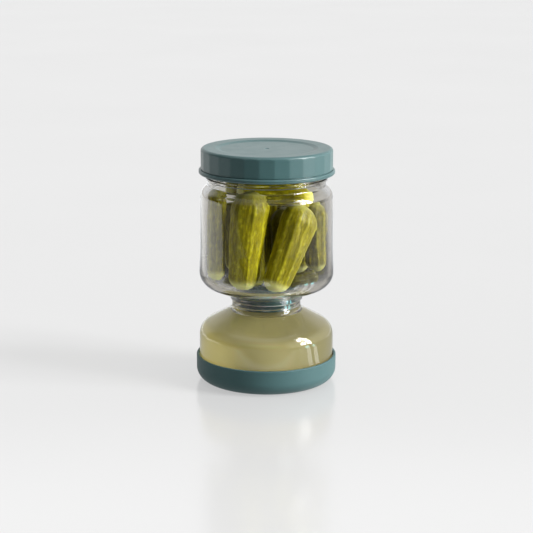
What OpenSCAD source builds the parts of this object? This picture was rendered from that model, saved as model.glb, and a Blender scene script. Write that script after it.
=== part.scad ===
// Hourglass flip jar for pickles. Two clear glass jars are screwed onto a green strainer coupler
// at the waist, a wide screw lid closes the top, and the lower jar stands in a silicone boot.
// The axis is Z and the jar stands on z = 0. Every thread is right-handed.

/* [Base boot] */
// Outside diameter of the silicone boot
boot_d = 107; // [104:0.5:110]
// Height of the boot's rim above the table
boot_h = 20.3; // [17:0.1:24]
// Thickness of the boot's side
boot_wall = 2.15; // [1.9:0.05:2.5]
// Thickness of the boot's floor
boot_floor = 2.6; // [2.2:0.1:3.4]
// Rounding of the boot's lower outside edge
boot_round = 10; // [8:0.5:12]

/* [Glass] */
// Glass thickness of both jars
glass = 3.7; // [3.3:0.1:4]
// Thickness of the lower jar's floor
low_floor = 4.6; // [4:0.1:6]
// Rounding between the lower jar's side and its shoulder
low_round = 12; // [9:0.5:14]
// Slope of the lower jar's shoulder above horizontal
low_slope = 28.9; // [26:0.1:31]
// Height where the lower shoulder meets the lower neck
low_neck_z = 56.2; // [55.6:0.1:56.8]
// Slope of the upper jar's bottom above horizontal
up_slope = 19.2; // [17:0.1:20]
// Rounding between the upper jar's bottom and its side
up_round = 13; // [11:0.5:14]
// How much narrower the upper jar is at its shoulder than at its heel, on the radius
up_taper = 1; // [0.4:0.1:1.6]
// Height where the upper jar's side meets its shoulder
up_shoulder_z = 146.2; // [145.6:0.1:146.6]

/* [Waist] */
// Height of the seam between the two jars
waist_z = 63.1; // [62.8:0.1:63.2]
// Bore of both waist threads
waist_bore_d = 44.8; // [44:0.2:45.4]
// Outside diameter of the lower jar's neck
low_neck_d = 52.2; // [51.6:0.2:53]
// Outside diameter of the upper jar's collar
collar_d = 55; // [54:0.2:56]
// Thread pitch at the waist
waist_pitch = 3; // [2.9:0.05:3.1]
// Diameter of each strainer hole
strainer_hole_d = 3.4; // [2:0.1:3.8]

/* [Mouth and lid] */
// Outside diameter of the upper jar's neck
mouth_d = 89.8; // [89.2:0.1:90]
// Height of the upper jar's rim
mouth_z = 174.4; // [174.2:0.1:175]
// Lid width across the corners of its facets
lid_d = 99.6; // [99:0.1:101]
// Number of flat facets round the lid
lid_facets = 28; // [20:1:36]
// Height of the top of the lid
lid_top_z = 179.6; // [179.4:0.1:180.4]
// Height of the lower edge of the lid
lid_edge_z = 160.1; // [159.6:0.1:160.4]
// Thread pitch of the lid
lid_pitch = 5; // [4.8:0.1:5.2]

/* [Contents] */
// Height of the brine's surface
brine_z = 52.5; // [30:0.5:52.5]

/* [Hidden] */
$fn = 96;

arc_steps = 8;          // straight steps in each rounded corner
thread_steps = 24;      // steps in one turn of a thread
thread_bite = 0.6;      // how far a thread's root sinks into the wall that carries it
thread_runout = 3;      // steps over which a thread fades in and out

green = [0.24, 0.40, 0.40];
clear = [0.86, 0.88, 0.86, 0.35];
silicone = [0.85, 0.86, 0.85];
brine_colour = [0.72, 0.67, 0.45, 0.8];
gherkin_colour = [0.52, 0.50, 0.10];

// Lower jar, standing in the boot
boot_gap = 0.25;
jar_r = boot_d / 2 - boot_wall - boot_gap;
jar_z = boot_floor;
jar_round = 9;
inside_r = jar_r - glass;
low_floor_z = jar_z + low_floor;
foot_r = 40;
push_up = 1.2;

// Waist: both bores are alike, and the seal lies between the two rims
seal_t = 0.6;
low_rim_z = waist_z - seal_t / 2;
up_rim_z = waist_z + seal_t / 2;
waist_bore_r = waist_bore_d / 2;
low_neck_r = low_neck_d / 2;
collar_r = collar_d / 2;
collar_z = 67.5;
rib_r = waist_bore_r + 1.2;
rib_gap = 0.3;
rib_half = 1;

// Strainer coupler
coupler_r = waist_bore_r - 1.5;
coupler_bore_r = coupler_r - 2.7;
coupler_bottom = 56.6;
coupler_top = 69.2;
strainer_t = 2;
seat_r = coupler_r - 1.1;
seat_gap = 0.1;
waist_crest_r = waist_bore_r - 0.3;
waist_nut_r = waist_bore_r - 1.1;
waist_base = 1.5;
waist_crest = 0.7;
waist_low_z = waist_z - 5.4;
waist_up_z = waist_z + 1.8;
waist_turns = 1.1;

// Upper jar
heel_z = 88;
bulge_z = 104;
bulge = 0.6;
shoulder_r = jar_r - up_taper;
shoulder_slope = 45;
mouth_r = mouth_d / 2;
mouth_bore_r = mouth_r - glass;
bead_z = 156.4;
bead_r = mouth_r + 1.1;

// Lid and its gasket
gasket_t = 1.6;
lid_under_z = mouth_z + gasket_t;
lid_bore_r = mouth_r + 2.1;
plug_r = mouth_bore_r - 0.3;
plug_t = 1.8;
plug_z = mouth_z - 0.4;
lid_crest_r = mouth_r + 0.8;
neck_crest_r = mouth_r + 1.7;
lid_base = 2.4;
lid_crest = 1.2;
lid_thread_z = 163;
lid_turns = 1.5;
lid_bead_r = 51.25;
lid_bead_h = 3.3;
lid_groove_r = 49.1;
lid_groove_h = 0.5;
lid_round = 2.9;
recess_r = 35;
ramp_r = 38.5;
recess_depth = 1.2;
gate_r = 1.7;
gate_depth = 0.35;

// Each gherkin: centre of its lower end ball, centre of its upper end ball, and their two radii
front_left = [[-16.5, -28.5, 87], [-12, -27, 137], 11.5, 14.2];
front_right = [[8, -32, 85], [22.5, -20, 126], 10.5, 14];
right = [[38, 1, 92.5], [37.4, 3, 128], 8.5, 8.8];
left = [[-38.6, -3, 84], [-38, 1, 140], 7, 7.8];
low_right = [[19, -14, 79.5], [33, -10.5, 82], 6, 6];
back_left = [[-22.5, 25, 88], [-22.5, 25, 125], 11.5, 12];
back = [[0.5, 34, 86.5], [0.5, 34, 129], 11, 11.5];
back_right = [[25, 24, 88], [24.5, 24.5, 125.5], 10.5, 11];
middle_left = [[-10.5, 1, 80.5], [-10.5, 1, 126], 10, 10.5];
middle_right = [[13, 3.5, 80.5], [13, 3.5, 122], 10, 10.5];
top = [[-15, 3, 147], [26.5, -2, 141.5], 8, 8.6];
top_back = [[-25, 19.5, 146], [21, 25, 146.2], 8, 8];

function unit(v) = v / norm(v);

// Points that round the corner b of the path a, b, c with radius r
function corner(a, b, c, r) =
    r == 0 ? [b] :
    let (
        u = unit(a - b),
        w = unit(c - b),
        half = acos(u * w) / 2,
        centre = b + unit(u + w) * r / sin(half),
        from = b + u * r / tan(half) - centre,
        to = b + w * r / tan(half) - centre,
        turn = 180 - 2 * half
    )
    [for (i = [0:arc_steps]) let (t = i / arc_steps)
        centre + (from * sin((1 - t) * turn) + to * sin(t * turn)) / sin(turn)];

// Closed outline through corners that are given as [radius, height, rounding]
function rounded(path) =
    let (n = len(path), at = [for (p = path) [p[0], p[1]]])
    [for (i = [0:n - 1]) each corner(at[(i + n - 1) % n], at[i], at[(i + 1) % n], path[i][2])];

module turned(path) {
    rotate_extrude() polygon(rounded(path));
}

module ring(inner_r, outer_r, z, height, edge) {
    turned([[inner_r, z, edge], [outer_r, z, edge],
            [outer_r, z + height, edge], [inner_r, z + height, edge]]);
}

// One helical ridge on a wall of radius wall_r. It points inwards when crest_r is the smaller.
// Turning it half a turn about Z puts it midway between the ridges of its mate.
module thread(wall_r, crest_r, z, turns, pitch, base, crest) {
    inwards = crest_r < wall_r;
    root_r = wall_r + (inwards ? thread_bite : -thread_bite);
    steps = round(turns * thread_steps);
    sections = [for (i = [0:steps])
        let (
            angle = 360 * i / thread_steps,
            full = min(1, (min(i, steps - i) + 0.2) / thread_runout),
            r = wall_r + (crest_r - wall_r) * full,
            side = [[root_r, -base / 2], [r, -crest / 2], [r, crest / 2], [root_r, base / 2]],
            loop = inwards ? [side[3], side[2], side[1], side[0]] : side
        )
        for (p = loop)
            [p[0] * cos(angle), p[0] * sin(angle), z + pitch * i / thread_steps + p[1]]];
    skin = [for (i = [0:steps - 1]) for (k = [0:3])
        let (a = 4 * i + k, b = 4 * i + (k + 1) % 4)
        each [[a, b, b + 4], [a, b + 4, a + 4]]];
    end = 4 * steps;
    caps = [[2, 1, 0], [3, 2, 0], [end, end + 1, end + 2], [end, end + 2, end + 3]];
    polyhedron(sections, concat(skin, caps));
}

// Height of the lower jar's outer shoulder at radius r, and of the surface inside it
function low_outer_z(r) = low_neck_z - (r - low_neck_r) * tan(low_slope);
function low_inner_z(r) = low_outer_z(r) - glass / cos(low_slope);

// The same for the upper jar's bottom and for its shoulder
function up_outer_z(r) = collar_z + (r - collar_r) * tan(up_slope);
function up_inner_z(r) = up_outer_z(r) + glass / cos(up_slope);
function top_outer_z(r) = up_shoulder_z + (shoulder_r - r) * tan(shoulder_slope);
function top_inner_z(r) = top_outer_z(r) - glass / cos(shoulder_slope);

module base_boot() {
    bore_r = boot_d / 2 - boot_wall;
    color(green)
        turned([[0, 0, 0], [boot_d / 2, 0, boot_round], [boot_d / 2, boot_h, 0.9],
                [bore_r, boot_h, 0.9], [bore_r, boot_floor, jar_round - 1], [0, boot_floor, 0]]);
}

module lower_jar() {
    color(clear) {
        turned([[0, jar_z + push_up, 0], [foot_r - 3, jar_z + push_up, 1.5],
                [foot_r, jar_z, 0.8], [jar_r, jar_z, jar_round],
                [jar_r, low_outer_z(jar_r), low_round],
                [low_neck_r, low_neck_z, 5], [low_neck_r, low_rim_z, 0.6],
                [rib_r + rib_gap, low_rim_z, 0], [rib_r + rib_gap, waist_z - rib_half, 0],
                [waist_bore_r, waist_z - rib_half, 0],
                [waist_bore_r, low_inner_z(waist_bore_r), 3],
                [inside_r, low_inner_z(inside_r), low_round - glass],
                [inside_r, low_floor_z, jar_round - glass], [0, low_floor_z, 0]]);
        rotate(180)
            thread(waist_bore_r, waist_nut_r, waist_low_z, waist_turns, waist_pitch,
                   waist_base, waist_crest);
    }
}

// The brine stops a hair short of the glass round it
module brine() {
    film = 0.1;
    r = inside_r - film;
    color(brine_colour)
        intersection() {
            turned([[0, low_floor_z + film, 0], [r, low_floor_z + film, jar_round - glass],
                    [r, low_inner_z(inside_r) - film, low_round - glass],
                    [coupler_bore_r, low_inner_z(coupler_bore_r) - 2 * film, 0],
                    [0, low_inner_z(coupler_bore_r) - 2 * film, 0]]);
            cylinder(r = boot_d, h = brine_z);
        }
}

// The disc drops into a seat in the top of the coupler
module strainer_disc() {
    pitch = 5.2;
    r = seat_r - seat_gap;
    color(green)
        difference() {
            turned([[0, coupler_top - strainer_t, 0], [r, coupler_top - strainer_t, 0.4],
                    [r, coupler_top, 0.4], [0, coupler_top, 0]]);
            for (row = [0:3])
                for (i = [0:max(0, 6 * row - 1)])
                    rotate(row == 0 ? 0 : 60 * i / row)
                        translate([pitch * row, 0, coupler_top - strainer_t - 1])
                            cylinder(d = strainer_hole_d, h = strainer_t + 2);
        }
}

module strainer_coupler() {
    color(green) {
        turned([[coupler_bore_r, coupler_bottom, 0.6], [coupler_r, coupler_bottom, 0.6],
                [coupler_r, waist_z - rib_half, 0], [rib_r, waist_z - rib_half, 0.3],
                [rib_r, waist_z + rib_half, 0.3], [coupler_r, waist_z + rib_half, 0],
                [coupler_r, coupler_top, 0.4], [seat_r, coupler_top, 0.4],
                [seat_r, coupler_top - strainer_t, 0],
                [coupler_bore_r, coupler_top - strainer_t, 0.4]]);
        for (z = [waist_low_z, waist_up_z])
            thread(coupler_r, waist_crest_r, z, waist_turns, waist_pitch,
                   waist_base, waist_crest);
    }
}

module neck_seal() {
    color(silicone)
        ring(rib_r + rib_gap, low_neck_r - 0.2, low_rim_z, seal_t, 0);
}

module upper_jar() {
    color(clear) {
        turned([[rib_r + rib_gap, up_rim_z, 0], [collar_r, up_rim_z, 0.8],
                [collar_r, collar_z, 2], [jar_r, up_outer_z(jar_r), up_round],
                [jar_r, heel_z, 0], [jar_r - bulge, bulge_z, 0],
                [shoulder_r, up_shoulder_z, 8], [mouth_r, top_outer_z(mouth_r), 1.5],
                [mouth_r, bead_z - 1.4, 0], [bead_r, bead_z - 0.9, 0.6],
                [bead_r, bead_z + 0.9, 0.6], [mouth_r, bead_z + 1.4, 0],
                [mouth_r, mouth_z, 1.2], [mouth_bore_r, mouth_z, 1.2],
                [mouth_bore_r, top_inner_z(mouth_bore_r), 5],
                [shoulder_r - glass, top_inner_z(shoulder_r - glass), 4.5],
                [jar_r - bulge - glass, bulge_z, 0], [inside_r, heel_z, 0],
                [inside_r, up_inner_z(inside_r), up_round - glass],
                [waist_bore_r, up_inner_z(waist_bore_r), 0.4],
                [waist_bore_r, waist_z + rib_half, 0],
                [rib_r + rib_gap, waist_z + rib_half, 0]]);
        rotate(180)
            thread(waist_bore_r, waist_nut_r, waist_up_z, waist_turns, waist_pitch,
                   waist_base, waist_crest);
        thread(mouth_r, neck_crest_r, lid_thread_z, lid_turns, lid_pitch, lid_base, lid_crest);
    }
}

// A straight tapered spindle with a ball at each end
module gherkin(shape) {
    low = shape[0];
    high = shape[1];
    low_r = shape[2];
    high_r = shape[3];
    axis = high - low;
    length = norm(axis);
    lean = acos(axis[2] / length);
    swing = atan2(axis[1], axis[0]);
    tangent = asin((low_r - high_r) / length);
    function arc(r, z, a, b) =
        [for (i = [0:arc_steps]) let (t = a + (b - a) * i / arc_steps)
            [i == 0 && a == -90 || i == arc_steps && b == 90 ? 0 : r * cos(t), z + r * sin(t)]];
    color(gherkin_colour)
        translate(low) rotate([0, lean, swing])
            rotate_extrude()
                polygon(concat(arc(low_r, 0, -90, tangent), arc(high_r, length, tangent, 90)));
}

module gherkin_front_left() { gherkin(front_left); }
module gherkin_front_right() { gherkin(front_right); }
module gherkin_right() { gherkin(right); }
module gherkin_left() { gherkin(left); }
module gherkin_low_right() { gherkin(low_right); }
module gherkin_back_left() { gherkin(back_left); }
module gherkin_back() { gherkin(back); }
module gherkin_back_right() { gherkin(back_right); }
module gherkin_middle_left() { gherkin(middle_left); }
module gherkin_middle_right() { gherkin(middle_right); }
module gherkin_top() { gherkin(top); }
module gherkin_top_back() { gherkin(top_back); }

module lid_gasket() {
    color(silicone)
        ring(plug_r + 0.3, lid_bore_r - 0.6, mouth_z, gasket_t, 0.3);
}

// The facets cover the side above the bead. One of them faces the front, along -Y.
module lid_side() {
    side_z = lid_edge_z + lid_bead_h + lid_groove_h;
    translate([0, 0, lid_edge_z - 1])
        cylinder(r = lid_bead_r + 5, h = side_z - lid_edge_z + 1);
    translate([0, 0, side_z - 0.1])
        linear_extrude(lid_top_z - side_z + 1)
            polygon([for (k = [0:lid_facets - 1])
                lid_d / 2 * [cos((k + 0.5) * 360 / lid_facets - 90),
                             sin((k + 0.5) * 360 / lid_facets - 90)]]);
}

module lid() {
    bead_top = lid_edge_z + lid_bead_h;
    bead_mid = lid_edge_z + lid_bead_h / 2;
    skin_r = lid_d / 2 + 0.1;
    recess_z = lid_top_z - recess_depth;
    color(green) {
        difference() {
            intersection() {
                turned([[0, lid_under_z, 0], [plug_r - plug_t, lid_under_z, 0],
                        [plug_r - plug_t, plug_z, 0.4], [plug_r, plug_z, 0.4],
                        [plug_r, lid_under_z, 0], [lid_bore_r, lid_under_z, 0.8],
                        [lid_bore_r, lid_edge_z + 0.9, 0], [lid_bore_r + 0.6, lid_edge_z, 0],
                        [lid_bead_r, lid_edge_z, 1.1], [lid_bead_r, bead_mid - 0.25, 0],
                        [lid_bead_r - 0.25, bead_mid, 0], [lid_bead_r, bead_mid + 0.25, 0],
                        [lid_bead_r, bead_top, 1.1], [lid_groove_r, bead_top, 0],
                        [lid_groove_r, bead_top + lid_groove_h, 0],
                        [skin_r, bead_top + lid_groove_h, 0], [skin_r, lid_top_z, lid_round],
                        [ramp_r, lid_top_z - 0.3, 3], [recess_r, recess_z, 3],
                        [0, recess_z, 0]]);
                lid_side();
            }
            translate([0, 0, recess_z - gate_depth])
                cylinder(r = gate_r, h = 1);
        }
        rotate(180)
            thread(lid_bore_r, lid_crest_r, lid_thread_z, lid_turns, lid_pitch,
                   lid_base, lid_crest);
    }
}

base_boot();
lower_jar();
brine();
strainer_coupler();
strainer_disc();
neck_seal();
upper_jar();
gherkin_front_left();
gherkin_front_right();
gherkin_right();
gherkin_left();
gherkin_low_right();
gherkin_back_left();
gherkin_back();
gherkin_back_right();
gherkin_middle_left();
gherkin_middle_right();
gherkin_top();
gherkin_top_back();
lid_gasket();
lid();
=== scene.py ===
import math

import bpy
import numpy as np
from mathutils import Matrix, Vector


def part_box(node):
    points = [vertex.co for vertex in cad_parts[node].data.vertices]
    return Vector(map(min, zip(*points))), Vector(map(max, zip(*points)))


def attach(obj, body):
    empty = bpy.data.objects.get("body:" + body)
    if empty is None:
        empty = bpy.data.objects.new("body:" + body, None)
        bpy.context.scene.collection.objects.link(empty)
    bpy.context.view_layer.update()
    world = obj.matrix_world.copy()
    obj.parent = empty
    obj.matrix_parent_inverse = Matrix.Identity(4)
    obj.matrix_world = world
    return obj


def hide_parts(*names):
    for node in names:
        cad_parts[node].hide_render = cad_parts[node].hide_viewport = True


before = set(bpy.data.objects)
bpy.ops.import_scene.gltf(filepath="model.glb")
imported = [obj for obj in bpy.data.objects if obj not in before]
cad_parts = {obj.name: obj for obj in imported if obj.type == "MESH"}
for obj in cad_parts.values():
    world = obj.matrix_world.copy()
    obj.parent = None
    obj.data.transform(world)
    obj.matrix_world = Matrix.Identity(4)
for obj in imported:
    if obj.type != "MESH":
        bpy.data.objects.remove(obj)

# Lengths are in millimetres up to the moment a mesh is made, and in metres after it.
MM = 0.001
TURN = 2 * math.pi
COLUMNS = 240                    # points round a turned piece
FINE_STEP = 0.3                  # longest step on walls that carry a thread
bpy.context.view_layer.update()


def span(node):
    """Lowest and highest corner of a CAD node, in millimetres."""
    return [np.array(corner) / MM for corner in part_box(node)]


# ---------------------------------------------------------------- sizes
boot_high = span("base_boot")[1]
low_low, low_high = span("lower_jar")
brine_high = span("brine")[1]
coupler_low, coupler_high = span("strainer_coupler")
seal_low, seal_high = span("neck_seal")
up_low, up_high = span("upper_jar")
gasket_low, gasket_high = span("lid_gasket")
lid_low, lid_high = span("lid")

BOOT_R, BOOT_H = boot_high[0], boot_high[2]
BOOT_WALL, BOOT_FLOOR = 2.15, low_low[2]
GLASS = 3.7
JAR_R, JAR_Z = low_high[0], low_low[2]
INSIDE_R = JAR_R - GLASS
FLOOR_Z = JAR_Z + 4.6
LOW_ANGLE, UP_ANGLE = math.radians(28.9), math.radians(19.2)
LOW_SLOPE, LOW_SLANT = math.tan(LOW_ANGLE), math.cos(LOW_ANGLE)
UP_SLOPE, UP_SLANT = math.tan(UP_ANGLE), math.cos(UP_ANGLE)
LOW_NECK_R, LOW_NECK_Z = 26.1, 56.2
COLLAR_R, COLLAR_Z = 27.5, 67.5
BORE_R, RIB_R = 22.4, 23.6
SEAT_BORE = RIB_R + 0.3          # the recess in the glass round the coupler's rib
NUT_R, CREST_R = BORE_R - 1.1, BORE_R - 0.3
LOW_RIM, UP_RIM = low_high[2], up_low[2]
WAIST_Z = (LOW_RIM + UP_RIM) / 2
RIB_LOW, RIB_HIGH = WAIST_Z - 1, WAIST_Z + 1
LOW_HEEL, LOW_BEND = 9, 12       # rounding of the lower jar's heel and of its shoulder
UP_HEEL, UP_SIDE, UP_BEND = 8, 60, 13
COUPLER_R, COUPLER_BORE = 20.9, 18.2
SEAT_R = COUPLER_R - 1.1
WAIST_THREAD = dict(turns=1.1, pitch=3, base=1.5, crest=0.7)
LOW_THREAD_Z, UP_THREAD_Z = WAIST_Z - 5.4, WAIST_Z + 1.8
HEEL_Z, BULGE_Z, BULGE = 88, 104, 0.6
SHOULDER_R, SHOULDER_Z = JAR_R - 1, 146.2
MOUTH_R, MOUTH_Z = 44.9, up_high[2]
MOUTH_BORE = MOUTH_R - GLASS
BEAD_Z, BEAD_R = 156.4, MOUTH_R + 1.1
LID_THREAD = dict(start=163, turns=1.5, pitch=5, base=2.4, crest=1.2)
MOUTH_THREAD_H, LID_THREAD_H = 1.7, 1.3
LID_BORE = MOUTH_R + 2.1
LID_EDGE, LID_UNDER = lid_low[2], gasket_high[2]
LID_TOP, LID_FACETS = 179.6, 28
LID_CORNER_R = 49.8
LID_BEAD_R, LID_BEAD_H = lid_high[0], 3.3
BRINE_Z = brine_high[2]


def low_outer(r):
    return LOW_NECK_Z - (r - LOW_NECK_R) * LOW_SLOPE


def low_inner(r):
    return low_outer(r) - GLASS / LOW_SLANT


def up_outer(r):
    return COLLAR_Z + (r - COLLAR_R) * UP_SLOPE


def up_inner(r):
    return up_outer(r) + GLASS / UP_SLANT


def top_outer(r):
    return SHOULDER_Z + SHOULDER_R - r


def top_inner(r):
    return top_outer(r) - GLASS * math.sqrt(2)


# ---------------------------------------------------------------- outlines and turned pieces
def arc(a, b, c, radius):
    """Points that round the corner b of the path a, b, c."""
    if radius == 0:
        return [b]
    u, w = (a - b) / np.linalg.norm(a - b), (c - b) / np.linalg.norm(c - b)
    half = math.acos(np.clip(u @ w, -1, 1)) / 2
    centre = b + (u + w) / np.linalg.norm(u + w) * radius / math.sin(half)
    start = b + u * radius / math.tan(half) - centre
    end = b + w * radius / math.tan(half) - centre
    turn = math.pi - 2 * half
    steps = max(3, math.ceil(math.degrees(turn) / 7))
    return [
        centre + (start * math.sin((1 - t) * turn) + end * math.sin(t * turn)) / math.sin(turn)
        for t in np.linspace(0, 1, steps + 1)
    ]


def outline(corners, fine=(), longest=3.0):
    """Closed line through corners [radius, height, rounding]. Straight runs get points near their
    ends and at most longest apart, and at most FINE_STEP apart on the upright walls in fine."""
    at = [np.array(p[:2], float) for p in corners]
    n = len(at)
    points = []
    for i in range(n):
        points += arc(at[i - 1], at[i], at[(i + 1) % n], corners[i][2])
    on_axis = points[0][0] == 0
    result = []
    for i, a in enumerate(points):
        result.append(a)
        if i == len(points) - 1 and on_axis:
            break
        b = points[(i + 1) % len(points)]
        length = np.linalg.norm(b - a)
        if length < 1.0:
            continue
        step = longest
        for radius, low, high in fine:
            upright = abs(a[0] - radius) < 0.05 and abs(b[0] - radius) < 0.05
            if upright and max(a[1], b[1]) > low and min(a[1], b[1]) < high:
                step = FINE_STEP
        count = max(1, math.ceil((length - 0.5) / step))
        for t in np.linspace(0.25, length - 0.25, count + 1):
            result.append(a + (b - a) * t / length)
    return np.array(result), on_axis


def make_mesh(name, points, faces, material):
    mesh = bpy.data.meshes.new(name)
    mesh.from_pydata((np.asarray(points) * MM).tolist(), [], faces)
    mesh.validate()
    mesh.update()
    mesh.shade_smooth()
    mesh.materials.append(material)
    piece = bpy.data.objects.new(name, mesh)
    bpy.context.scene.collection.objects.link(piece)
    return piece


def grid_faces(rows, columns, wrap_rows):
    """Quads between rows of points that run round in columns. wrap_rows joins the last row to the
    first."""
    faces = []
    for i in range(rows if wrap_rows else rows - 1):
        a, b = i * columns, (i + 1) % rows * columns
        faces += [(a + j, a + (j + 1) % columns, b + (j + 1) % columns, b + j)
                  for j in range(columns)]
    return faces


def turned(name, corners, material, shape=None, fine=(), angles=None, longest=3.0):
    """A turned piece: the outline swept round Z. shape(radius, height, angle) may move the
    points."""
    line, on_axis = outline(corners, fine, longest)
    angles = np.arange(COLUMNS) * TURN / COLUMNS if angles is None else angles
    count = len(angles)
    body = line[1:-1] if on_axis else line
    radius = np.repeat(body[:, :1], count, 1)
    height = np.repeat(body[:, 1:], count, 1)
    angle = np.repeat(angles[None, :], len(body), 0)
    if shape:
        radius, height = shape(radius, height, angle)
    points = np.stack([radius * np.cos(angle), radius * np.sin(angle), height], -1).reshape(-1, 3)
    faces = grid_faces(len(body), count, not on_axis)
    if on_axis:
        low, high = len(points), len(points) + 1
        points = np.vstack([points, [[0, 0, line[0][1]], [0, 0, line[-1][1]]]])
        last = (len(body) - 1) * count
        faces += [(low, (j + 1) % count, j) for j in range(count)]
        faces += [(high, last + j, last + (j + 1) % count) for j in range(count)]
    return make_mesh(name, points, faces, material)


def smooth_step(x):
    x = np.clip(x, 0, 1)
    return x * x * (3 - 2 * x)


def thread(height, angle, start, turns, pitch, base, crest, half_turn=False):
    """How much of a helical ridge's height is present at each point, from 0 to 1."""
    turned_by = (angle - (math.pi if half_turn else 0)) / TURN
    ridge = np.zeros_like(height)
    for k in range(-1, math.ceil(turns) + 2):
        t = turned_by + k
        away = np.abs(height - start - pitch * t)
        side = smooth_step((base - 2 * away) / (base - crest))
        fade = smooth_step(np.minimum(t, turns - t) / 0.12 + 0.1)
        ridge = np.maximum(ridge, side * fade * (t > -0.012) * (t < turns + 0.012))
    return ridge


def on_wall(radius, height, wall, low, high):
    return (np.abs(radius - wall) < 0.05) & (height > low) & (height < high)


# ---------------------------------------------------------------- materials
class Nodes:
    """A short way to write the node tree of a material or of the world."""

    def __init__(self, owner, output="ShaderNodeOutputMaterial"):
        owner.use_nodes = True
        self.owner = owner
        self.tree = owner.node_tree
        self.tree.nodes.clear()
        self.out = self.add(output)

    def add(self, kind, settings=None, **inputs):
        node = self.tree.nodes.new(kind)
        for key, value in (settings or {}).items():
            setattr(node, key, value)
        for key, value in inputs.items():
            self.feed(node, key.replace("_", " "), value)
        return node

    def feed(self, node, key, value):
        socket = node.inputs[int(key)] if key.isdigit() else node.inputs[key]
        if isinstance(value, bpy.types.NodeSocket):
            self.tree.links.new(value, socket)
        else:
            socket.default_value = value

    def math(self, operation, a, b=0.0, clamp=False):
        node = self.add("ShaderNodeMath", {"operation": operation, "use_clamp": clamp})
        self.feed(node, "0", a)
        self.feed(node, "1", b)
        return node.outputs[0]

    def span(self, value, low, high, to_low=0.0, to_high=1.0):
        """A soft step from to_low at low to to_high at high."""
        node = self.add("ShaderNodeMapRange", {"interpolation_type": "SMOOTHSTEP"})
        for key, v in enumerate((value, low, high, to_low, to_high)):
            self.feed(node, str(key), v)
        return node.outputs[0]

    def band(self, value, low, high, edge):
        """1 between low and high, with soft edges, and 0 outside."""
        return self.math("MULTIPLY", self.span(value, low, low + edge),
                         self.span(value, high, high - edge))

    def bands(self, value, ranges, edge):
        """1 in either of two ranges, with soft edges, and 0 outside."""
        first, second = [self.band(value, low, high, edge) for low, high in ranges]
        return self.math("ADD", first, second)

    def azimuth(self, x, y):
        """Degrees round Z from the front, positive toward +X."""
        turn = self.math("ARCTAN2", x, self.math("MULTIPLY", y, -1.0))
        return self.math("MULTIPLY", turn, 180 / math.pi)

    def place(self, scale=(1, 1, 1), source=None):
        """Coordinates in the row frame, or in an attribute, stretched by scale."""
        if source is None:
            source = self.add("ShaderNodeTexCoord").outputs["Object"]
        node = self.add("ShaderNodeVectorMath", {"operation": "MULTIPLY"})
        self.feed(node, "0", source)
        self.feed(node, "1", scale)
        return node.outputs[0]

    def noise(self, where, scale, detail=2.0, rough=0.5, distortion=0.0):
        node = self.add("ShaderNodeTexNoise", Vector=where, Scale=scale, Detail=detail,
                        Roughness=rough, Distortion=distortion)
        return node.outputs[0]

    def colours(self, factor, *stops):
        node = self.add("ShaderNodeValToRGB", Fac=factor)
        ramp = node.color_ramp
        while len(ramp.elements) < len(stops):
            ramp.elements.new(0.5)
        for element, (position, colour) in zip(ramp.elements, stops):
            element.position = position
            element.color = (*colour, 1)
        return node.outputs[0]

    def mix(self, factor, a, b, kind="MIX"):
        node = self.add("ShaderNodeMix", {"data_type": "RGBA", "blend_type": kind})
        self.feed(node, "0", factor)
        for key, value in (("6", a), ("7", b)):
            self.feed(node, key, value if isinstance(value, bpy.types.NodeSocket) else (*value, 1))
        return node.outputs[2]

    def bump(self, height, strength, distance):
        node = self.add("ShaderNodeBump", Strength=strength, Distance=distance, Height=height)
        return node.outputs[0]

    def principled(self, **inputs):
        return self.add("ShaderNodeBsdfPrincipled", **inputs)

    def blend(self, factor, first, second):
        """first where factor is 0, second where it is 1."""
        return self.add("ShaderNodeMixShader", **{
            "0": factor, "1": first.outputs[0], "2": second.outputs[0]})

    def emit(self, colour, strength):
        if not isinstance(colour, bpy.types.NodeSocket):
            colour = (*colour, 1)
        return self.add("ShaderNodeEmission", Color=colour, Strength=strength)

    def alike(self, value):
        """A grey of the given brightness."""
        return self.add("ShaderNodeCombineXYZ", X=value, Y=value, Z=value).outputs[0]

    def shade(self, factor, value):
        """value times (1 - factor)."""
        return self.math("MULTIPLY", value, self.math("SUBTRACT", 1.0, factor))

    def finish(self, shader):
        self.tree.links.new(shader.outputs[0], self.out.inputs[0])
        return self.owner


def new_material(name):
    return Nodes(bpy.data.materials.new(name))


def grey(level):
    return (level, level, level)


def green_plastic(name, dark, light, rough, grain, coat=0.0):
    """Moulded green plastic: a little colour drift, fine texture and faint scuffs."""
    n = new_material(name)
    where = n.place()
    drift = n.noise(where, 45, 3)
    fine = n.noise(where, 1900, 2)
    scuff = n.noise(n.place((90, 90, 900)), 1, 3, 0.6)
    colour = n.colours(drift, (0.3, dark), (0.7, light))
    colour = n.mix(n.span(fine, 0.62, 0.8, 0, 0.12), colour, grey(0.5))
    roughness = n.span(scuff, 0.35, 0.75, rough - 0.02, rough + 0.03)
    return n.finish(n.principled(
        Base_Color=colour, Roughness=roughness, IOR=1.49, Coat_Weight=coat, Coat_Roughness=0.3,
        Normal=n.bump(n.math("ADD", fine, n.math("MULTIPLY", scuff, 0.4)), grain, 0.0002)))


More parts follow.
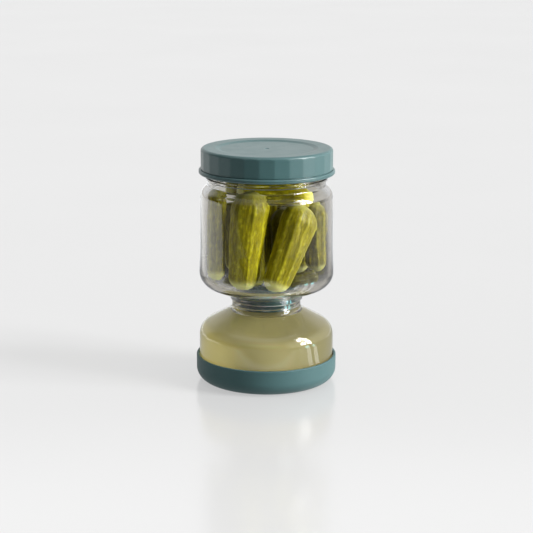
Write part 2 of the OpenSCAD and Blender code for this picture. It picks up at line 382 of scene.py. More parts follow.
def boot_silicone():
    n = new_material("boot_silicone")
    where = n.place()
    drift = n.noise(where, 35, 3)
    fine = n.noise(where, 2600, 2, 0.7)
    dust = n.span(n.noise(where, 700, 4, 0.7), 0.66, 0.8, 0, 0.16)
    colour = n.colours(drift, (0.3, (0.044, 0.110, 0.113)), (0.7, (0.050, 0.121, 0.124)))
    colour = n.mix(dust, colour, (0.35, 0.40, 0.39))
    return n.finish(n.principled(
        Base_Color=colour, Roughness=n.span(fine, 0.3, 0.7, 0.56, 0.68), IOR=1.43,
        Sheen_Weight=0.12, Sheen_Roughness=0.5, Normal=n.bump(fine, 0.25, 0.0002)))


def clear_glass():
    """Pressed glass, slightly wavy. Shadow rays and diffuse rays pass straight through it."""
    n = new_material("clear_glass")
    where = n.place()
    wave = n.noise(n.place((1, 1, 0.6)), 38, 1)
    ripple = n.noise(where, 150, 2)
    tint = n.colours(n.noise(where, 12, 1), (0.3, (0.985, 0.988, 0.982)),
                     (0.7, (0.97, 0.978, 0.97)))
    height = n.math("ADD", wave, n.math("MULTIPLY", ripple, 0.06))
    glass = n.principled(Base_Color=tint, Roughness=0.0, IOR=1.5, Transmission_Weight=1.0,
                         Normal=n.bump(height, 0.06, 0.0012))
    straight = n.add("ShaderNodeBsdfTransparent", Color=(0.93, 0.94, 0.93, 1))
    path = n.add("ShaderNodeLightPath")
    through = n.math("MAXIMUM", path.outputs["Is Shadow Ray"], path.outputs["Is Diffuse Ray"])
    return n.finish(n.blend(through, glass, straight))


def pale_silicone():
    n = new_material("pale_silicone")
    where = n.place()
    fine = n.noise(where, 1500, 2)
    colour = n.colours(n.noise(where, 60, 2), (0.3, (0.62, 0.65, 0.62)), (0.7, (0.72, 0.74, 0.70)))
    return n.finish(n.principled(
        Base_Color=colour, Roughness=n.span(fine, 0.3, 0.7, 0.4, 0.55), IOR=1.43,
        Subsurface_Weight=0.4, Subsurface_Scale=0.002, Normal=n.bump(fine, 0.2, 0.0001)))


def cloudy_brine():
    """Cloudy liquid. It has a glossy skin and lets light through from behind, and its thin edges
    show the background. Its brightness from place to place is painted light and shade."""
    n = new_material("cloudy_brine")
    where = n.place()
    x, _, height = n.add("ShaderNodeSeparateXYZ", Vector=where).outputs
    cloud = n.noise(n.place((1, 1, 1.8)), 20, 4, 0.55, 0.6)
    colour = n.colours(cloud, (0.32, (0.74, 0.65, 0.27)), (0.68, (0.80, 0.71, 0.325)))
    # painted shade: darker olive towards the surface at the top
    colour = n.mix(n.span(height, 0.034, 0.047, 0.0, 0.35), colour, (0.66, 0.58, 0.27))
    # painted light: more orange towards the bottom, where refracted light gathers
    colour = n.mix(n.span(height, 0.024, 0.016, 0.0, 0.6), colour, (0.80, 0.62, 0.22))

    # painted light and shade: brightest where it faces the viewer, and lighter on the left than on
    # the right; facing is 1 minus the cosine, slant is the sine
    facing = n.add("ShaderNodeLayerWeight", Blend=0.5).outputs["Facing"]
    cosine_squared = n.math("POWER", n.math("SUBTRACT", 1.0, facing), 2.0)
    slant = n.math("SQRT", n.math("SUBTRACT", 1.0, cosine_squared, True))
    side = n.math("MULTIPLY", n.span(slant, 0.0, 0.93, 1.62, 0.6),
                  n.span(x, -0.03, 0.02, 1.18, 1.0))
    # painted light: the shoulder is lighter on the left than on the right
    shoulder = n.span(x, -0.03, 0.03, 1.5, 0.82)
    on_shoulder = n.span(height, 0.036, 0.044)
    density = n.math("ADD", n.shade(on_shoulder, side), n.math("MULTIPLY", shoulder, on_shoulder))
    colour = n.mix(1.0, colour, n.alike(density), "MULTIPLY")

    skin = n.principled(
        Base_Color=n.mix(1.0, colour, grey(SKIN_SHARE), "MULTIPLY"), IOR=1.34,
        Roughness=n.span(cloud, 0.3, 0.7, 0.03, 0.08))
    inside = n.add("ShaderNodeBsdfTranslucent",
                   Color=n.mix(1.0, colour, grey(INSIDE_SHARE), "MULTIPLY"))
    liquid = n.add("ShaderNodeAddShader", **{"0": skin.outputs[0], "1": inside.outputs[0]})
    thin = n.math("MULTIPLY", n.span(facing, 0.62, 1.0, 0.04, 0.62),
                  n.span(height, 0.026, 0.042, 0.55, 1.0))
    clear = n.add("ShaderNodeBsdfTransparent", Color=(0.62, 0.58, 0.45, 1))
    path = n.add("ShaderNodeLightPath")
    through = n.math("MAXIMUM", path.outputs["Is Shadow Ray"], path.outputs["Is Diffuse Ray"])
    return n.finish(n.blend(n.math("MAXIMUM", through, thin), liquid, clear))


def gherkin_skin():
    """The attribute skin holds a point's place round and along its own gherkin, in millimetres and
    shifted by a different amount on each one. tip is 1 at the lower tip and 0.3 at the upper one,
    and ridge is 1 on a rib or wart. The last attribute, each gherkin's brightness, is painted light
    and shade: a gherkin in the light is made lighter, and one in shade darker."""
    n = new_material("gherkin_skin")
    skin = n.add("ShaderNodeAttribute", {"attribute_name": "skin"}).outputs["Vector"]
    tip = n.add("ShaderNodeAttribute", {"attribute_name": "tip"}).outputs["Fac"]
    tone = n.add("ShaderNodeAttribute", {"attribute_name": "tone"}).outputs["Fac"]
    ridge = n.add("ShaderNodeAttribute", {"attribute_name": "ridge"}).outputs["Fac"]
    streak = n.noise(n.place((1, 1, 0.2), skin), 0.7, 4, 0.62)
    blotch = n.noise(n.place((1, 1, 0.5), skin), 0.10, 3, 0.55)
    pebble = n.noise(n.place((1, 1, 0.5), skin), 0.8, 3, 0.6)
    fleck = n.noise(n.place((1, 1, 0.6), skin), 2.6, 3, 0.6)
    colour = n.colours(streak, (0.34, (0.20, 0.165, 0.002)), (0.50, (0.32, 0.27, 0.003)),
                       (0.68, (0.47, 0.41, 0.006)))
    colour = n.mix(n.span(blotch, 0.38, 0.66, 0, 0.55), colour, (0.135, 0.118, 0.004))
    colour = n.mix(n.span(pebble, 0.50, 0.36, 0, 0.5), colour, (0.13, 0.112, 0.002))
    colour = n.mix(n.span(fleck, 0.60, 0.76, 0, 0.45), colour, (0.64, 0.57, 0.03))
    colour = n.mix(n.math("MULTIPLY", ridge, 0.6), colour, (0.68, 0.62, 0.03))
    # paler towards the tips, most of all the lower one: partly the fruit's own paler ends, partly
    # painted haze of the table mirrored in the glass's heel
    colour = n.mix(n.span(tip, 0.05, 0.6, 0, 0.9), colour, (1.0, 0.97, 0.34))
    # painted light and shade: each gherkin's colour is scaled by its own brightness
    colour = n.mix(1.0, colour, n.alike(tone), "MULTIPLY")
    height = n.math("ADD", n.math("MULTIPLY", streak, 0.5), pebble)
    height = n.math("ADD", height, n.math("MULTIPLY", fleck, 0.3))
    return n.finish(n.principled(
        Base_Color=colour, Roughness=n.span(fleck, 0.3, 0.7, 0.28, 0.42), IOR=1.4,
        Subsurface_Weight=0.5, Subsurface_Radius=(1.0, 0.85, 0.1), Subsurface_Scale=0.004,
        Specular_IOR_Level=0.3, Coat_Weight=0.1, Coat_Roughness=0.12, Coat_IOR=1.34,
        Normal=n.bump(height, 0.6, 0.0006)))


def mirrored_table(n, x, y):
    """A painted reflection: what the polished glass mirrors of the table, painted into its light.
    It is a bright area that ends at a slanting edge in front, with a dark strip, a dim zone near
    the jar, and the window's image to the right."""
    aside = n.math("MINIMUM", n.math("ABSOLUTE", x), EDGE_REACH)
    inside = n.span(n.math("SUBTRACT", n.math("ADD", y, EDGE_IN_FRONT), aside), -0.004, 0.004)
    bright = n.math("MULTIPLY", n.span(x, -0.25, -0.15, 1.9, 3.3), n.span(x, 0.05, 0.22, 1.0, 0.15))
    bright = n.math("MULTIPLY", inside, bright)
    # painted shade: the waist mirrors this dark strip, and looks dark
    strip = n.math("MULTIPLY", n.span(y, -0.245, -0.255), n.span(y, -0.335, -0.325))
    strip = n.math("MULTIPLY", strip, n.span(x, -0.30, -0.25))
    bright = n.shade(n.math("MULTIPLY", strip, 0.9), bright)
    # beside and behind the jar
    rear = n.math("MAXIMUM", n.span(x, -0.25, -0.35, 0.6, 1.9), n.span(y, 0.30, 0.42, 0.6, 1.2))
    past = n.span(y, -0.17, -0.09)
    bright = n.math("ADD", n.shade(past, bright), n.math("MULTIPLY", rear, past))
    near = n.math("MULTIPLY", n.span(y, -0.26, -0.24), n.span(y, -0.12, -0.14))
    bright = n.shade(n.math("MULTIPLY", near, 0.86), bright)

    # painted reflection of the window's panes, to the right
    panes = n.bands(n.azimuth(x, y), MIRRORED_PANES, 1.5)
    far = n.math("SUBTRACT", x, n.math("MULTIPLY", y, 0.4))
    panes = n.math("MULTIPLY", n.math("MULTIPLY", panes, inside), n.span(far, 0.19, 0.25, 3.0, 9.0))
    panes = n.math("MULTIPLY", panes, n.span(far, 0.36, 0.31))
    colour = n.mix(n.span(panes, 3.5, 5.5), (0.96, 0.98, 1.0), (0.42, 0.95, 1.0))
    return n.emit(colour, n.math("ADD", bright, panes))


def table_top(name, camera_only=False):
    """A pale table with its own look for each kind of ray: seen directly, seen through the glass,
    lighting matte pieces, or mirrored in the polished glass. With camera_only, all but the
    camera's own rays find it black."""
    n = new_material(name)
    where = n.place()
    x, y, _ = n.add("ShaderNodeSeparateXYZ", Vector=where).outputs
    fine = n.noise(where, 900, 2)
    colour = n.colours(n.noise(where, 3, 2), (0.3, grey(0.195)), (0.7, grey(0.205)))
    matte = n.add("ShaderNodeBsdfDiffuse", Color=colour)
    glow = n.emit(grey(1), n.span(y, -0.30, -0.05, TABLE_GLOW + FRONT_GLOW, TABLE_GLOW))
    base = n.add("ShaderNodeAddShader", **{"0": matte.outputs[0], "1": glow.outputs[0]})
    polish = n.add("ShaderNodeBsdfGlossy", Color=(1, 1, 1, 1),
                   Roughness=n.span(fine, 0.3, 0.7, 0.16, 0.2))
    # the polish fades out away from the jar, and is weak at a low angle
    away = n.math("SQRT", n.math("ADD", n.math("MULTIPLY", x, x), n.math("MULTIPLY", y, y)))
    shine = n.math("MINIMUM", n.add("ShaderNodeFresnel", IOR=1.45).outputs[0], 0.3)
    top = n.blend(n.math("MULTIPLY", shine, n.span(away, 0.30, 0.70, 1.0, 0.0)), base, polish)
    path = n.add("ShaderNodeLightPath").outputs
    if camera_only:
        n.owner.cycles.emission_sampling = "NONE"
        return n.finish(n.blend(path["Is Camera Ray"], n.emit(grey(0), 0.0), top))

    # painted shade: seen through the glass the table is dimmed to a warm tone, most of all behind
    # the jar, so that the jar's inside looks dark
    behind = n.math("MULTIPLY", n.band(y, 0.09, 0.75, 0.12),
                    n.span(n.math("ABSOLUTE", x), 0.15, 0.28, 1.0, 0.2))
    glass_dim = n.math("ADD", DIM_THROUGH, n.math("MULTIPLY", behind, 0.33))
    dimming = n.math("MAXIMUM", n.math("MULTIPLY", path["Is Diffuse Ray"], DIM_BOUNCED),
                     n.math("MULTIPLY", path["Is Transmission Ray"], glass_dim))
    warm = n.emit((0.21, 0.172, 0.11), n.shade(n.math("MULTIPLY", behind, 0.95),
                                               path["Is Transmission Ray"]))
    toned = n.blend(dimming, top, warm)
    first_mirror = n.math("MULTIPLY", path["Is Singular Ray"], path["Is Glossy Ray"])
    first_mirror = n.math("MULTIPLY", first_mirror, n.math("LESS_THAN", path["Ray Depth"], 1.5))
    return n.finish(n.blend(first_mirror, toned, mirrored_table(n, x, y)))


SKIN_SHARE, INSIDE_SHARE = 0.24, 0.74  # how much light the brine gives back, and lets through
TABLE_GLOW, FRONT_GLOW = 0.583, 0.07
DIM_THROUGH = 0.66               # how much darker the table looks through the glass
DIM_BOUNCED = 0.55               # how much of its light on matte pieces is held back
EDGE_IN_FRONT, EDGE_REACH = 0.436, 0.38  # metres, where the mirrored table ends
MIRRORED_PANES = (62, 71), (75, 84)      # degrees
boot_material = boot_silicone()
lid_material = green_plastic("lid_plastic", (0.056, 0.126, 0.128), (0.062, 0.137, 0.139),
                             0.36, 0.2, 0.25)
coupler_material = green_plastic("coupler_plastic", (0.018, 0.064, 0.061), (0.025, 0.076, 0.072),
                                 0.2, 0.1)
glass_material = clear_glass()
seal_material = pale_silicone()
brine_material = cloudy_brine()
gherkin_material = gherkin_skin()


def stand_for(piece, node, body):
    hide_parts(node)
    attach(piece, body)
    return piece


# ---------------------------------------------------------------- boot
bore_r = BOOT_R - BOOT_WALL
boot = turned("boot", [
    [0, 0.35, 0], [BOOT_R - 16, 0.35, 0.3], [BOOT_R - 15.4, 0, 0.3], [BOOT_R, 0, 10],
    [BOOT_R, BOOT_H, 0.95], [bore_r, BOOT_H, 0.95], [bore_r, BOOT_FLOOR, 8],
    [0, BOOT_FLOOR, 0]], boot_material, longest=2.0)
stand_for(boot, "base_boot", "base")


# ---------------------------------------------------------------- glass jars
SEAM_H, SEAM_W = 0.05, 0.35


def seam(radius, angle, low, high, height):
    """A faint mould seam on two sides."""
    away = np.abs(np.sin(angle)) * radius
    return SEAM_H * np.exp(-(away / SEAM_W) ** 2) * (height > low) * (height < high)


def low_jar_shape(radius, height, angle):
    bore = on_wall(radius, height, BORE_R, 50, RIB_LOW - 0.01)
    ridge = thread(height, angle, LOW_THREAD_Z, half_turn=True, **WAIST_THREAD)
    outer = radius > INSIDE_R + 1.5
    shaped = radius - np.where(bore, (BORE_R - NUT_R) * ridge, 0)
    return shaped - seam(radius, angle, 20, 50, height) * outer, height


lower_jar = turned("lower_jar_glass", [
    [0, JAR_Z + 1.2, 0], [37, JAR_Z + 1.2, 1.5], [40, JAR_Z, 0.8], [JAR_R, JAR_Z, LOW_HEEL],
    [JAR_R, low_outer(JAR_R), LOW_BEND], [LOW_NECK_R, LOW_NECK_Z, 5], [LOW_NECK_R, LOW_RIM, 0.6],
    [SEAT_BORE, LOW_RIM, 0.1], [SEAT_BORE, RIB_LOW, 0.1], [BORE_R, RIB_LOW, 0.1],
    [BORE_R, low_inner(BORE_R), 3], [INSIDE_R, low_inner(INSIDE_R), LOW_BEND - GLASS],
    [INSIDE_R, FLOOR_Z, LOW_HEEL - GLASS], [0, FLOOR_Z, 0]],
    glass_material, low_jar_shape, [(BORE_R, 52, 63)])
stand_for(lower_jar, "lower_jar", "lower")


def up_jar_shape(radius, height, angle):
    bore = on_wall(radius, height, BORE_R, RIB_HIGH + 0.01, 71)
    neck = on_wall(radius, height, MOUTH_R, BEAD_Z + 1.5, MOUTH_Z - 1.3)
    nut = thread(height, angle, UP_THREAD_Z, half_turn=True, **WAIST_THREAD)
    screw = thread(height, angle, **LID_THREAD)
    shaped = radius - np.where(bore, (BORE_R - NUT_R) * nut, 0)
    shaped = shaped + np.where(neck, MOUTH_THREAD_H * screw, 0)
    outer = radius > INSIDE_R + 1.5
    return shaped - seam(radius, angle, 76, 150, height) * outer, height


upper_jar = turned("upper_jar_glass", [
    [SEAT_BORE, UP_RIM, 0.1], [COLLAR_R, UP_RIM, 0.8], [COLLAR_R, COLLAR_Z, 2],
    [JAR_R, up_outer(JAR_R), UP_BEND], [JAR_R, HEEL_Z, UP_HEEL], [JAR_R - BULGE, BULGE_Z, UP_SIDE],
    [SHOULDER_R, SHOULDER_Z, 8], [MOUTH_R, top_outer(MOUTH_R), 1.5], [MOUTH_R, BEAD_Z - 1.4, 0.3],
    [BEAD_R, BEAD_Z - 0.9, 0.6], [BEAD_R, BEAD_Z + 0.9, 0.6], [MOUTH_R, BEAD_Z + 1.4, 0.3],
    [MOUTH_R, MOUTH_Z, 1.2], [MOUTH_BORE, MOUTH_Z, 1.2], [MOUTH_BORE, top_inner(MOUTH_BORE), 5],
    [SHOULDER_R - GLASS, top_inner(SHOULDER_R - GLASS), 4.5],
    [JAR_R - BULGE - GLASS, BULGE_Z, UP_SIDE], [INSIDE_R, HEEL_Z, UP_HEEL],
    [INSIDE_R, up_inner(INSIDE_R), UP_BEND - GLASS], [BORE_R, up_inner(BORE_R), 0.4],
    [BORE_R, RIB_HIGH, 0.1], [SEAT_BORE, RIB_HIGH, 0.1]],
    glass_material, up_jar_shape, [(BORE_R, 64, 71), (MOUTH_R, 157, 174)])
stand_for(upper_jar, "upper_jar", "upper")


# ---------------------------------------------------------------- strainer coupler, disc and seals
def coupler_shape(radius, height, angle):
    wall = on_wall(radius, height, COUPLER_R, 0, 200)
    ridge = np.maximum(thread(height, angle, LOW_THREAD_Z, **WAIST_THREAD),
                       thread(height, angle, UP_THREAD_Z, **WAIST_THREAD))
    return radius + np.where(wall, (CREST_R - COUPLER_R) * ridge, 0), height


ring_low, ring_high = coupler_low[2], coupler_high[2]
coupler = turned("strainer_coupler_ring", [
    [COUPLER_BORE, ring_low, 0.6], [COUPLER_R, ring_low, 0.6], [COUPLER_R, RIB_LOW, 0.1],
    [RIB_R, RIB_LOW, 0.3], [RIB_R, RIB_HIGH, 0.3], [COUPLER_R, RIB_HIGH, 0.1],
    [COUPLER_R, ring_high, 0.4], [SEAT_R, ring_high, 0.4], [SEAT_R, ring_high - 2, 0.1],
    [COUPLER_BORE, ring_high - 2, 0.4]],
    coupler_material, coupler_shape, [(COUPLER_R, ring_low, ring_high)])
stand_for(coupler, "strainer_coupler", "upper")

for disc_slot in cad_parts["strainer_disc"].material_slots:
    disc_slot.material = coupler_material

seal = turned("neck_seal_ring", [
    [seal_high[0] - 2, seal_low[2], 0.15], [seal_high[0], seal_low[2], 0.15],
    [seal_high[0], seal_high[2], 0.15], [seal_high[0] - 2, seal_high[2], 0.15]], seal_material)
stand_for(seal, "neck_seal", "waist_ring")

gasket = turned("lid_gasket_ring", [
    [MOUTH_BORE, gasket_low[2], 0.3], [gasket_high[0], gasket_low[2], 0.3],
    [gasket_high[0], gasket_high[2], 0.3], [MOUTH_BORE, gasket_high[2], 0.3]], seal_material)
stand_for(gasket, "lid_gasket", "gasket")


# ---------------------------------------------------------------- lid
FACET = TURN / LID_FACETS
APOTHEM = LID_CORNER_R * math.cos(FACET / 2)
SIDE_Z = LID_EDGE + LID_BEAD_H + 0.5
RECESS_Z = LID_TOP - 1.2
RECESS_IN, RECESS_OUT = 35, 38.5
LIP_IN, LIP_OUT = 39.1, 40.9     # the lip inside the gasket
GROOVE_R, SIDE_R = 49.1, 49.9    # the groove above the bead, and the side before it is cut


def soft_least(a, b, width):
    return -width * np.logaddexp(-a / width, -b / width)


def lid_shape(radius, height, angle):
    """The side above the bead is cut to flat facets, one of them facing the front."""
    off = (angle + math.pi / 2 + FACET / 2) % FACET - FACET / 2
    limit = soft_least(APOTHEM / np.cos(off), np.full_like(off, LID_CORNER_R - 0.06), 0.03)
    side = (radius > LID_BORE + 0.9) & (height > SIDE_Z - 0.01)
    cut = np.where(side, soft_least(radius, limit, 0.05), radius)
    bore = on_wall(radius, height, LID_BORE, LID_EDGE + 1, LID_UNDER - 0.9)
    ridge = thread(height, angle, half_turn=True, **LID_THREAD)
    return cut - np.where(bore, LID_THREAD_H * ridge, 0), height


within = np.array([0, 0.03, 0.08, 0.2, 0.35, 0.5, 0.65, 0.8, 0.92, 0.97])
lid_angles = np.concatenate([(k + 0.5 + within) * FACET - math.pi / 2
                             for k in range(LID_FACETS)])
bead_mid, bead_top = LID_EDGE + LID_BEAD_H / 2, LID_EDGE + LID_BEAD_H
lid = turned("lid_shell", [
    [0, LID_UNDER, 0], [LIP_IN, LID_UNDER, 0.3], [LIP_IN, MOUTH_Z - 0.4, 0.4],
    [LIP_OUT, MOUTH_Z - 0.4, 0.4], [LIP_OUT, LID_UNDER, 0.2], [LID_BORE, LID_UNDER, 0.8],
    [LID_BORE, LID_EDGE + 0.9, 0.2], [LID_BORE + 0.6, LID_EDGE, 0.2], [LID_BEAD_R, LID_EDGE, 1.1],
    [LID_BEAD_R, bead_mid - 0.3, 0.15], [LID_BEAD_R - 0.35, bead_mid, 0.1],
    [LID_BEAD_R, bead_mid + 0.3, 0.15], [LID_BEAD_R, bead_top, 1.1], [GROOVE_R, bead_top, 0.1],
    [GROOVE_R, SIDE_Z, 0.1], [SIDE_R, SIDE_Z, 0.1], [SIDE_R, LID_TOP, 2.9],
    [RECESS_OUT, LID_TOP - 0.3, 3], [RECESS_IN, RECESS_Z, 3], [1.7, RECESS_Z, 0.25],
    [1.5, RECESS_Z - 0.35, 0.15], [0.6, RECESS_Z - 0.35, 0.1], [0.5, RECESS_Z - 0.2, 0.08],
    [0, RECESS_Z - 0.2, 0]],
    lid_material, lid_shape, [(LID_BORE, 161, 175)], lid_angles, 2.0)
stand_for(lid, "lid", "cap")


# ---------------------------------------------------------------- brine
WET = 0.12                       # how far the brine reaches into the glass, so that no gap shows
MENISCUS = 0.4                   # how far the surface climbs at the glass
RIPPLE = 0.12


def brine_edge(z):
    """Radius of the glass above the side's bend, at height z, widened by the overlap."""
    return LOW_NECK_R + (LOW_NECK_Z - GLASS / LOW_SLANT + WET / LOW_SLANT - z) / LOW_SLOPE


def brine_shape(radius, height, angle):
    """The surface climbs the glass a little, and is not quite still."""
    top = height > BRINE_Z - 1e-6
    rim = brine_edge(BRINE_Z)
    away = np.clip(rim - radius, 0, None)
    climb = MENISCUS * np.exp(-away / 1.3)
    still = smooth_step(away / 6)
    wave = (np.sin(0.21 * radius * np.cos(angle) + 1.3) * np.sin(0.17 * radius * np.sin(angle))
            * RIPPLE * still)
    return radius, height + np.where(top, climb - MENISCUS + wave - RIPPLE * still, 0)


rim_r, bend_r = brine_edge(BRINE_Z), INSIDE_R + WET
brine = turned("cloudy_brine", [
    [0, FLOOR_Z - WET, 0], [bend_r, FLOOR_Z - WET, LOW_HEEL - GLASS],
    [bend_r, low_inner(bend_r) + WET / LOW_SLANT, LOW_BEND - GLASS],
    [rim_r, BRINE_Z, 0.0], [0, BRINE_Z, 0]], brine_material, brine_shape, longest=0.9)
stand_for(brine, "brine", "lower")


# ---------------------------------------------------------------- gherkins
GHERKIN_ROWS, GHERKIN_COLUMNS = 190, 144
RIBS, WARTS = 9, 150
INSET = 0.70                     # room inside the CAD spindle for ribs and warts
BOW_SHARE = 0.66                 # share of the bend that the tips take, the other way
SCAR_IN = 0.75                   # how far in the middle of each tip's scar lies


def hashed(cell, seed):
    """A repeatable number from 0 to 1 for each whole-number cell."""
    h = (cell[..., 0] * 374761393 + cell[..., 1] * 668265263 + cell[..., 2] * 2147483647
         + seed * 974634777) & 0xFFFFFFFF
    h = ((h ^ (h >> 13)) * 1274126177) & 0xFFFFFFFF
    return ((h ^ (h >> 16)) & 0xFFFF) / 65535.0


def value_noise(p, seed):
    """Smooth noise from -1 to 1."""
    cell = np.floor(p).astype(np.int64)
    f = p - cell
    f = f * f * (3 - 2 * f)
    total = 0
    for dx in (0, 1):
        for dy in (0, 1):
            for dz in (0, 1):
                w = ((f[..., 0] if dx else 1 - f[..., 0]) * (f[..., 1] if dy else 1 - f[..., 1])
                     * (f[..., 2] if dz else 1 - f[..., 2]))
                total = total + w * hashed(cell + np.array([dx, dy, dz]), seed)
    return total * 2 - 1


def gherkin(name, node, low, high, low_r, high_r, seed, bend, spin, tone):
    """A ridged, warty gherkin inside its CAD spindle."""
    rng = np.random.default_rng(seed)
    low, high = np.array(low, float), np.array(high, float)
    axis = high - low
    length = np.linalg.norm(axis)
    axis /= length
    side = np.cross(axis, [0, 1, 0.01])
    side /= np.linalg.norm(side)
    front = np.cross(axis, side)
    total = low_r + length + high_r
    rows, columns = GHERKIN_ROWS, GHERKIN_COLUMNS
    # steps from tip to tip along the axis, closer together at the tips
    u = np.linspace(0, 1, rows + 2)[1:-1]
    s = total * (u - 0.055 * np.sin(TURN * u))
    tangent = math.asin((low_r - high_r) / length)
    low_end, high_end = low_r * (1 + math.sin(tangent)), low_r + length + high_r * math.sin(tangent)
    profile = np.where(
        s < low_end, np.sqrt(np.clip(low_r ** 2 - (s - low_r) ** 2, 0, None)),
        np.where(s > high_end, np.sqrt(np.clip(high_r ** 2 - (s - low_r - length) ** 2, 0, None)),
                 low_r * math.cos(tangent) + (s - low_end) * (high_r - low_r) / length))
    v = np.arange(columns) * TURN / columns
    s, v = np.meshgrid(s, v, indexing="ij")
    base = np.repeat(profile[:, None], columns, 1)
    t = s / total
    around = np.stack([np.cos(v) * 3, np.sin(v) * 3, s * 0.02], -1)
    wander = value_noise(around, seed) * 0.5
    lobes = 0.022 * np.cos(3 * (v - spin) + 0.6 * wander) + 0.012 * np.cos(2 * v + seed)
    ribs = np.cos(RIBS * (v - spin) + 2.2 * wander + 1.5 * value_noise(around * 0.7, seed + 5))
    body = smooth_step(np.minimum(t, 1 - t) / 0.16)
    ribs = np.clip(ribs, -0.4, 1) * body
    wrinkle = value_noise(np.stack([np.cos(v) * 9, np.sin(v) * 9, s * 0.09], -1), seed + 9)
    fine = value_noise(np.stack([np.cos(v) * 22, np.sin(v) * 22, s * 0.35], -1), seed + 17)
    dents = value_noise(np.stack([np.cos(v) * 2, np.sin(v) * 2, s * 0.09], -1), seed + 3)
    relief = 0.30 * ribs + 0.16 * wrinkle * body + 0.07 * fine * body + 0.35 * dents * body
    warts = np.zeros_like(relief)
    for _ in range(WARTS):
        ws = rng.uniform(0.10, 0.93) * total
        k = rng.integers(RIBS)
        wv = spin + (k + rng.normal(0, 0.13)) * TURN / RIBS
        size, rise = rng.uniform(0.6, 1.5), rng.uniform(0.15, 0.5)
        turn_gap = (v - wv + math.pi) % TURN - math.pi
        away = ((s - ws) / (1.25 * size)) ** 2 + (turn_gap * np.maximum(base, 3) / size) ** 2
        warts = np.maximum(warts, rise * np.exp(-away))
    relief += warts
    radius = base * (1 + lobes) - INSET * smooth_step(base / 6) + relief
    radius = np.maximum(radius, base * 0.2)
    # stem scar above, blossom scar below
    scar = np.exp(-(radius / 1.7) ** 2)
    shift_up = np.where(t < 0.5, 1, -1) * 0.5 * scar
    bow = 4 * t * (1 - t) - BOW_SHARE
    centre = (low[None, None] + axis * (s - low_r + shift_up)[..., None]
              + (side * bend[0] + front * bend[1]) * bow[..., None])
    points = centre + radius[..., None] * (side * np.cos(v)[..., None]
                                           + front * np.sin(v)[..., None])
    ends = np.array([low - axis * (low_r - SCAR_IN), high + axis * (high_r - SCAR_IN)])
    ends -= (side * bend[0] + front * bend[1]) * BOW_SHARE
    points = points.reshape(-1, 3)
    faces = grid_faces(rows, columns, False)
    bottom, top, last = len(points), len(points) + 1, (rows - 1) * columns
    faces += [(bottom, (j + 1) % columns, j) for j in range(columns)]
    faces += [(top, last + j, last + (j + 1) % columns) for j in range(columns)]
    points = np.vstack([points, ends])
    piece = make_mesh(name, points, faces, gherkin_material)
    shift = rng.uniform(0, 400, 3)
    skin = np.stack([radius * np.cos(v), radius * np.sin(v), s], -1).reshape(-1, 3) + shift
    skin = np.vstack([skin, [[*shift[:2], shift[2]], [*shift[:2], shift[2] + total]]])
    tip = np.maximum(1 - smooth_step(t / 0.17), 0.3 * (1 - smooth_step((1 - t) / 0.15)))
    tip = np.append(tip.reshape(-1), [1, 0.3])
    crest = np.append((np.clip(ribs - 0.45, 0, 1) * 0.9 + warts * 1.6).reshape(-1), [0, 0])
    mesh = piece.data
    mesh.attributes.new("skin", "FLOAT_VECTOR", "POINT").data.foreach_set("vector", skin.ravel())
    mesh.attributes.new("tip", "FLOAT", "POINT").data.foreach_set("value", tip)
    mesh.attributes.new("tone", "FLOAT", "POINT").data.foreach_set(
        "value", np.full(len(tip), tone))
    mesh.attributes.new("ridge", "FLOAT", "POINT").data.foreach_set("value", np.clip(crest, 0, 1))
    return stand_for(piece, node, "upper")


# name, lower and upper centre, their radii, bend, turn of the ribs, brightness (painted light and
# shade)
GHERKINS = [
    ("front_left", (-16.5, -28.5, 87), (-12, -27, 137), 11.5, 14.2, (0.5, 0.2), 0.35, 1.05),
    ("front_right", (8, -32, 85), (22.5, -20, 126), 10.5, 14, (-0.6, 0.2), 0.9, 0.9),
    ("right", (38, 1, 92.5), (37.4, 3, 128), 8.5, 8.8, (0.2, 0.3), 0.2, 0.7),
    ("left", (-38.6, -3, 84), (-38, 1, 140), 7, 7.8, (0.2, -0.2), 1.1, 1.1),
    ("low_right", (19, -14, 79.5), (33, -10.5, 82), 6, 6, (0.2, 0.2), 0.6, 0.22),
    ("back_left", (-22.5, 25, 88), (-22.5, 25, 125), 11.5, 12, (0.5, 0.2), 0.5, 0.7),
    ("back", (0.5, 34, 86.5), (0.5, 34, 129), 11, 11.5, (0.3, -0.3), 0.8, 0.8),
    ("back_right", (25, 24, 88), (24.5, 24.5, 125.5), 10.5, 11, (-0.5, 0.1), 0.0, 0.6),
    ("middle_left", (-10.5, 1, 80.5), (-10.5, 1, 126), 10, 10.5, (0.4, 0.2), 0.4, 0.6),
    ("middle_right", (13, 3.5, 80.5), (13, 3.5, 122), 10, 10.5, (-0.4, 0.3), 1.3, 0.6),
    ("top", (-15, 3, 147), (26.5, -2, 141.5), 8, 8.6, (0.4, 0.2), 0.7, 1.8),
    ("top_back", (-25, 19.5, 146), (21, 25, 146.2), 8, 8, (0.3, 0.4), 0.2, 0.9),
]
for number, (place, low, high, low_r, high_r, bend, spin, tone) in enumerate(GHERKINS):
    gherkin("pickle_" + place, "gherkin_" + place, low, high, low_r, high_r, 11 + number,
            bend, spin, tone)


# ---------------------------------------------------------------- table and light
def table_sheet(name, front, back, material):
    """Part of the table, from y = front to y = back."""
    corners = [(-TABLE_FAR, front, 0), (TABLE_FAR, front, 0), (TABLE_FAR, back, 0),
               (-TABLE_FAR, back, 0)]
    mesh = bpy.data.meshes.new(name)
    mesh.from_pydata(corners, [], [tuple(range(len(corners)))])
    mesh.materials.append(material)
    piece = bpy.data.objects.new(name, mesh)
    bpy.context.scene.collection.objects.link(piece)


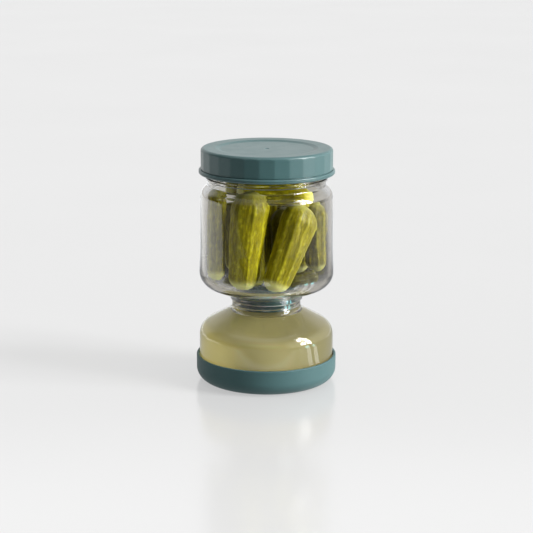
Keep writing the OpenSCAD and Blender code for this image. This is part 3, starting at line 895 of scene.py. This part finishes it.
TABLE_FRONT, TABLE_FAR = -0.45, 12.0
table_sheet("table", TABLE_FRONT, TABLE_FAR, table_top("table_top"))
table_sheet("table_front", -TABLE_FAR, TABLE_FRONT, table_top("table_front", camera_only=True))


PALE = 0.8308                    # the tone of the backdrop, as the camera sees it
BACKDROP, DARK_ROOM, OVERHEAD, FILL, WINDOW = 0.81, 0.02, 0.9, 0.36, 24.0
ROOM_DIM = 0.3                   # how much darker the room looks through the glass
PANES_ACROSS, PANES_UP = ((62, 72.2), (74, 84.5)), ((2, 23.5), (25.5, 48))  # degrees


def studio():
    """A bright backdrop behind and to the right, with a tall window in its right part, light from
    above, a soft fill from the left and front, and otherwise a dark room. The camera's own rays
    see one pale tone, and rays through the glass see the room dimmed."""
    world = bpy.data.worlds.new("studio")
    bpy.context.scene.world = world
    n = Nodes(world, "ShaderNodeOutputWorld")
    way = n.add("ShaderNodeTexCoord").outputs["Generated"]
    x, y, z = n.add("ShaderNodeSeparateXYZ", Vector=way).outputs
    azimuth = n.azimuth(x, y)
    rise = n.math("MULTIPLY", n.math("ARCSINE", z), 180 / math.pi)
    right = n.math("MULTIPLY", n.span(azimuth, 28, 46), n.span(azimuth, 110, 140, 1.3, 1.0))
    back = n.math("ADD", n.span(azimuth, -116, -133), right)
    low = n.span(rise, 26, 42, 1.0, 0.35)
    light = n.math("MULTIPLY", n.math("MULTIPLY", back, low), BACKDROP)
    light = n.math("ADD", light, DARK_ROOM)
    above = n.math("MULTIPLY", n.span(z, 0.70, 0.90), OVERHEAD)
    light = n.math("MAXIMUM", light, above)
    fill = n.math("MULTIPLY", n.band(azimuth, -115, 35, 25), n.band(rise, 8, 62, 12))
    light = n.math("ADD", light, n.math("MULTIPLY", fill, FILL))
    panes = n.math("MULTIPLY", n.bands(azimuth, PANES_ACROSS, 0.6), n.bands(rise, PANES_UP, 0.6))
    light = n.math("ADD", light, n.math("MULTIPLY", panes, WINDOW))
    path = n.add("ShaderNodeLightPath").outputs
    light = n.shade(n.math("MULTIPLY", path["Is Transmission Ray"], ROOM_DIM), light)
    room = n.add("ShaderNodeBackground", Color=(1, 1, 1, 1), Strength=light)
    seen = n.add("ShaderNodeBackground", Color=(PALE, PALE, PALE, 1), Strength=1.0)
    n.finish(n.blend(path["Is Camera Ray"], room, seen))
    world.cycles.sampling_method = "MANUAL"
    world.cycles.sample_map_resolution = 1024


studio()
scene = bpy.context.scene
scene.view_settings.view_transform = "Standard"
scene.cycles.caustics_reflective = False
scene.cycles.caustics_refractive = False
scene.cycles.max_bounces = 16
scene.cycles.transmission_bounces = 14
scene.cycles.glossy_bounces = 6
scene.cycles.diffuse_bounces = 4
scene.cycles.transparent_max_bounces = 24

CAMERA_Y, CAMERA_Z = -1.17819, 0.36649
LENS, LOOK_DOWN, ROLL = 107.33, 13.314, 0.2

camera_data = bpy.data.cameras.new("camera")
camera_data.sensor_width = 36
camera_data.lens = LENS
camera_data.clip_end = 50
camera = bpy.data.objects.new("camera", camera_data)
camera.matrix_world = (Matrix.Translation((0, CAMERA_Y, CAMERA_Z))
                       @ Matrix.Rotation(math.radians(90 - LOOK_DOWN), 4, "X")
                       @ Matrix.Rotation(math.radians(ROLL), 4, "Z"))
scene.collection.objects.link(camera)
scene.camera = camera
